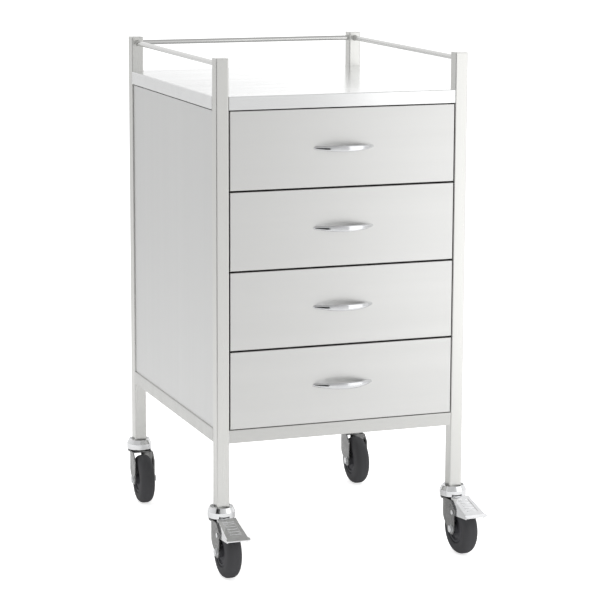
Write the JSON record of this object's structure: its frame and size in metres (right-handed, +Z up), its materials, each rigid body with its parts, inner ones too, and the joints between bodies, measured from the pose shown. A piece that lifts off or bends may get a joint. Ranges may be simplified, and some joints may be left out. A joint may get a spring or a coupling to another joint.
{
  "type": "instrument cart",
  "caption": "Stainless drawer cart with a railed top shelf, square-tube posts, bow handles, ball-bearing drawer slides and braked swivel castors.",
  "frame": {"origin": "on the floor, in the middle of the rectangle that the cart covers with its castors and brake pedals", "axes": "+Z up; +X to the right of a person who faces the drawers; the drawers open towards -Y"},
  "size_m": [0.5318, 0.6878, 0.97],
  "materials": {
    "satin_steel": "satin stainless",
    "panel_steel": "fine satin stainless sheet",
    "drawer_steel": "fine satin stainless sheet",
    "polished_steel": "polished stainless",
    "handle_chrome": "satin chrome",
    "chrome_plate": "bright chrome",
    "fork_steel": "dull plated pressed steel",
    "bright_zinc": "bright zinc",
    "slide_zinc": "zinc plated",
    "hub_plastic": "moulded, matt",
    "tyre_rubber": "soft matt rubber",
    "seal_rubber": "matt"
  },
  "bodies": {
    "frame": {"back_panel": "panel_steel", "back_rail": "polished_steel", "base_pan": "satin_steel", "castor_bearings": "bright_zinc", "castor_heads": "chrome_plate", "castor_seals": "seal_rubber", "deck_stiffeners": "satin_steel", "left_front_post": "satin_steel", "left_panel": "panel_steel", "left_rear_post": "satin_steel", "post_caps": "satin_steel", "right_front_post": "satin_steel", "right_panel": "panel_steel", "right_rear_post": "satin_steel", "side_rails": "polished_steel", "slide_brackets": "slide_zinc", "slide_outer_members": "slide_zinc", "top_shelf": "polished_steel"},
    "drawer_1": {"drawer_1_front": "drawer_steel", "drawer_1_box": "panel_steel", "drawer_1_handle": "handle_chrome", "drawer_1_handle_screws": "bright_zinc", "drawer_1_slide_inners": "slide_zinc"},
    "drawer_1_middles": {"drawer_1_slide_middles": "slide_zinc"},
    "drawer_2": {"drawer_2_front": "drawer_steel", "drawer_2_box": "panel_steel", "drawer_2_handle": "handle_chrome", "drawer_2_handle_screws": "bright_zinc", "drawer_2_slide_inners": "slide_zinc"},
    "drawer_2_middles": {"drawer_2_slide_middles": "slide_zinc"},
    "drawer_3": {"drawer_3_front": "drawer_steel", "drawer_3_box": "panel_steel", "drawer_3_handle": "handle_chrome", "drawer_3_handle_screws": "bright_zinc", "drawer_3_slide_inners": "slide_zinc"},
    "drawer_3_middles": {"drawer_3_slide_middles": "slide_zinc"},
    "drawer_4": {"drawer_4_front": "drawer_steel", "drawer_4_box": "panel_steel", "drawer_4_handle": "handle_chrome", "drawer_4_handle_screws": "bright_zinc", "drawer_4_slide_inners": "slide_zinc"},
    "drawer_4_middles": {"drawer_4_slide_middles": "slide_zinc"},
    "left_front_swivel": {"left_front_fork": "fork_steel", "left_front_axle": "bright_zinc"},
    "left_front_wheel": {"left_front_hub": "hub_plastic", "left_front_tyre": "tyre_rubber"},
    "left_front_pedal": {"left_front_brake_pedal": "chrome_plate"},
    "right_front_swivel": {"right_front_fork": "fork_steel", "right_front_axle": "bright_zinc"},
    "right_front_wheel": {"right_front_hub": "hub_plastic", "right_front_tyre": "tyre_rubber"},
    "right_front_pedal": {"right_front_brake_pedal": "chrome_plate"},
    "left_rear_swivel": {"left_rear_fork": "fork_steel", "left_rear_axle": "bright_zinc"},
    "left_rear_wheel": {"left_rear_hub": "hub_plastic", "left_rear_tyre": "tyre_rubber"},
    "right_rear_swivel": {"right_rear_fork": "fork_steel", "right_rear_axle": "bright_zinc"},
    "right_rear_wheel": {"right_rear_hub": "hub_plastic", "right_rear_tyre": "tyre_rubber"}
  },
  "joints": [
    {"name": "drawer_1_slide", "type": "slide", "parent": "frame", "child": "drawer_1", "axis": [0, -1, 0], "range_m": [0, 0.45]},
    {"name": "drawer_1_telescope", "type": "slide", "parent": "frame", "child": "drawer_1_middles", "axis": [0, -1, 0], "range_m": [0, 0.225]},
    {"name": "drawer_2_slide", "type": "slide", "parent": "frame", "child": "drawer_2", "axis": [0, -1, 0], "range_m": [0, 0.45]},
    {"name": "drawer_2_telescope", "type": "slide", "parent": "frame", "child": "drawer_2_middles", "axis": [0, -1, 0], "range_m": [0, 0.225]},
    {"name": "drawer_3_slide", "type": "slide", "parent": "frame", "child": "drawer_3", "axis": [0, -1, 0], "range_m": [0, 0.45]},
    {"name": "drawer_3_telescope", "type": "slide", "parent": "frame", "child": "drawer_3_middles", "axis": [0, -1, 0], "range_m": [0, 0.225]},
    {"name": "drawer_4_slide", "type": "slide", "parent": "frame", "child": "drawer_4", "axis": [0, -1, 0], "range_m": [0, 0.45]},
    {"name": "drawer_4_telescope", "type": "slide", "parent": "frame", "child": "drawer_4_middles", "axis": [0, -1, 0], "range_m": [0, 0.225]},
    {"name": "left_front_swivel_turn", "type": "hinge", "parent": "frame", "child": "left_front_swivel", "pos_m": [-0.2375, -0.2375, 0.1052], "axis": [0, 0, 1], "continuous": true},
    {"name": "left_front_wheel_roll", "type": "hinge", "parent": "left_front_swivel", "child": "left_front_wheel", "pos_m": [-0.2375, -0.2755, 0.05], "axis": [1, 0, 0], "continuous": true},
    {"name": "left_front_brake", "type": "hinge", "parent": "left_front_swivel", "child": "left_front_pedal", "pos_m": [-0.2375, -0.2795, 0.084], "axis": [1, 0, 0], "range_deg": [0, 5]},
    {"name": "right_front_swivel_turn", "type": "hinge", "parent": "frame", "child": "right_front_swivel", "pos_m": [0.2375, -0.2375, 0.1052], "axis": [0, 0, 1], "continuous": true},
    {"name": "right_front_wheel_roll", "type": "hinge", "parent": "right_front_swivel", "child": "right_front_wheel", "pos_m": [0.23949, -0.27545, 0.05], "axis": [0.9986, 0.0523, 0], "continuous": true},
    {"name": "right_front_brake", "type": "hinge", "parent": "right_front_swivel", "child": "right_front_pedal", "pos_m": [0.2397, -0.27944, 0.084], "axis": [0.9986, 0.0523, 0], "range_deg": [0, 5]},
    {"name": "left_rear_swivel_turn", "type": "hinge", "parent": "frame", "child": "left_rear_swivel", "pos_m": [-0.2375, 0.3175, 0.1052], "axis": [0, 0, 1], "continuous": true},
    {"name": "left_rear_wheel_roll", "type": "hinge", "parent": "left_rear_swivel", "child": "left_rear_wheel", "pos_m": [-0.23949, 0.27955, 0.05], "axis": [0.9986, -0.0523, 0], "continuous": true},
    {"name": "right_rear_swivel_turn", "type": "hinge", "parent": "frame", "child": "right_rear_swivel", "pos_m": [0.2375, 0.3175, 0.1052], "axis": [0, 0, 1], "continuous": true},
    {"name": "right_rear_wheel_roll", "type": "hinge", "parent": "right_rear_swivel", "child": "right_rear_wheel", "pos_m": [0.2375, 0.2795, 0.05], "axis": [1, 0, 0], "continuous": true}
  ],
  "couplings": [
    {"joint": "drawer_1_telescope", "follows": "drawer_1_slide", "ratio": 0.5},
    {"joint": "drawer_2_telescope", "follows": "drawer_2_slide", "ratio": 0.5},
    {"joint": "drawer_3_telescope", "follows": "drawer_3_slide", "ratio": 0.5},
    {"joint": "drawer_4_telescope", "follows": "drawer_4_slide", "ratio": 0.5}
  ]
}
